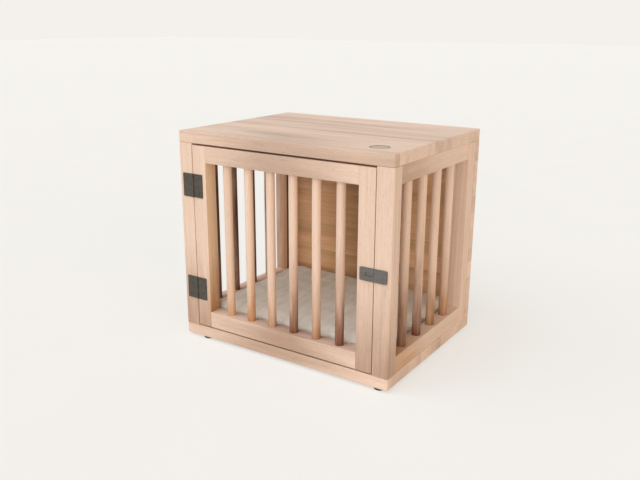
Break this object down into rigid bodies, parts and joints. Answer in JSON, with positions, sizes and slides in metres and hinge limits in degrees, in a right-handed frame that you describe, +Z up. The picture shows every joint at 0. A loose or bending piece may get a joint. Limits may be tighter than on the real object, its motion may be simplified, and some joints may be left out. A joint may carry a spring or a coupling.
{
  "type": "dog crate end table",
  "caption": "Wooden dog crate that serves as an end table: solid top and back, barred sides, barred front door on butt hinges with a slide latch, floor cushion.",
  "frame": {"origin": "middle of the bounding box's footprint, on the floor under the foot glides", "axes": "+Z up, +X to the right of someone who faces the door, -Y towards that person, so the door is on the -Y side"},
  "size_m": [0.63, 0.489, 0.569],
  "materials": {
    "beech": "satin lacquer",
    "aged_steel": "dull, darkened",
    "satin_steel": "satin",
    "zinc_steel": "zinc plated",
    "brass": "plain",
    "black_plastic": "matte",
    "rubber": "matte",
    "inlay": "matte",
    "cushion_cover": "woven"
  },
  "bodies": {
    "case": {"back_left_glide": "black_plastic", "back_left_post": "beech", "back_panel": "beech", "back_right_glide": "black_plastic", "back_right_post": "beech", "base_board": "beech", "base_bolts": "zinc_steel", "corner_inlay": "inlay", "cushion": "cushion_cover", "door_stop": "beech", "door_stop_bumper": "rubber", "door_stop_screws": "zinc_steel", "frame_hinge_screws": "aged_steel", "front_left_glide": "black_plastic", "front_left_post": "beech", "front_right_glide": "black_plastic", "front_right_post": "beech", "glide_nails": "zinc_steel", "latch_keeper": "satin_steel", "latch_keeper_screws": "satin_steel", "left_bar_1": "beech", "left_bar_2": "beech", "left_bar_3": "beech", "left_bar_4": "beech", "left_bottom_rail": "beech", "left_top_rail": "beech", "lower_hinge_frame_leaf": "aged_steel", "lower_hinge_pin": "aged_steel", "panel_dowels": "beech", "post_dowels": "beech", "right_bar_1": "beech", "right_bar_2": "beech", "right_bar_3": "beech", "right_bar_4": "beech", "right_bottom_rail": "beech", "right_top_rail": "beech", "side_rail_dowels": "beech", "threaded_inserts": "brass", "top_board": "beech", "top_screws": "zinc_steel", "upper_hinge_frame_leaf": "aged_steel", "upper_hinge_pin": "aged_steel"},
    "door": {"door_hinge_stile": "beech", "door_latch_stile": "beech", "door_top_rail": "beech", "door_bottom_rail": "beech", "door_bar_1": "beech", "door_bar_2": "beech", "door_bar_3": "beech", "door_bar_4": "beech", "door_bar_5": "beech", "door_bar_6": "beech", "door_dowels": "beech", "door_hinge_screws": "aged_steel", "upper_hinge_door_leaf": "aged_steel", "lower_hinge_door_leaf": "aged_steel", "latch_housing": "satin_steel", "latch_housing_screws": "satin_steel"},
    "bolt": {"latch_bolt": "satin_steel"}
  },
  "joints": [
    {"name": "door_hinge", "type": "hinge", "parent": "case", "child": "door", "pos_m": [-0.271, -0.242, 0.28775], "axis": [0, 0, -1], "range_deg": [0, 175]},
    {"name": "bolt_slide", "type": "slide", "parent": "door", "child": "bolt", "axis": [1, 0, 0], "range_m": [0, 0.016]}
  ]
}
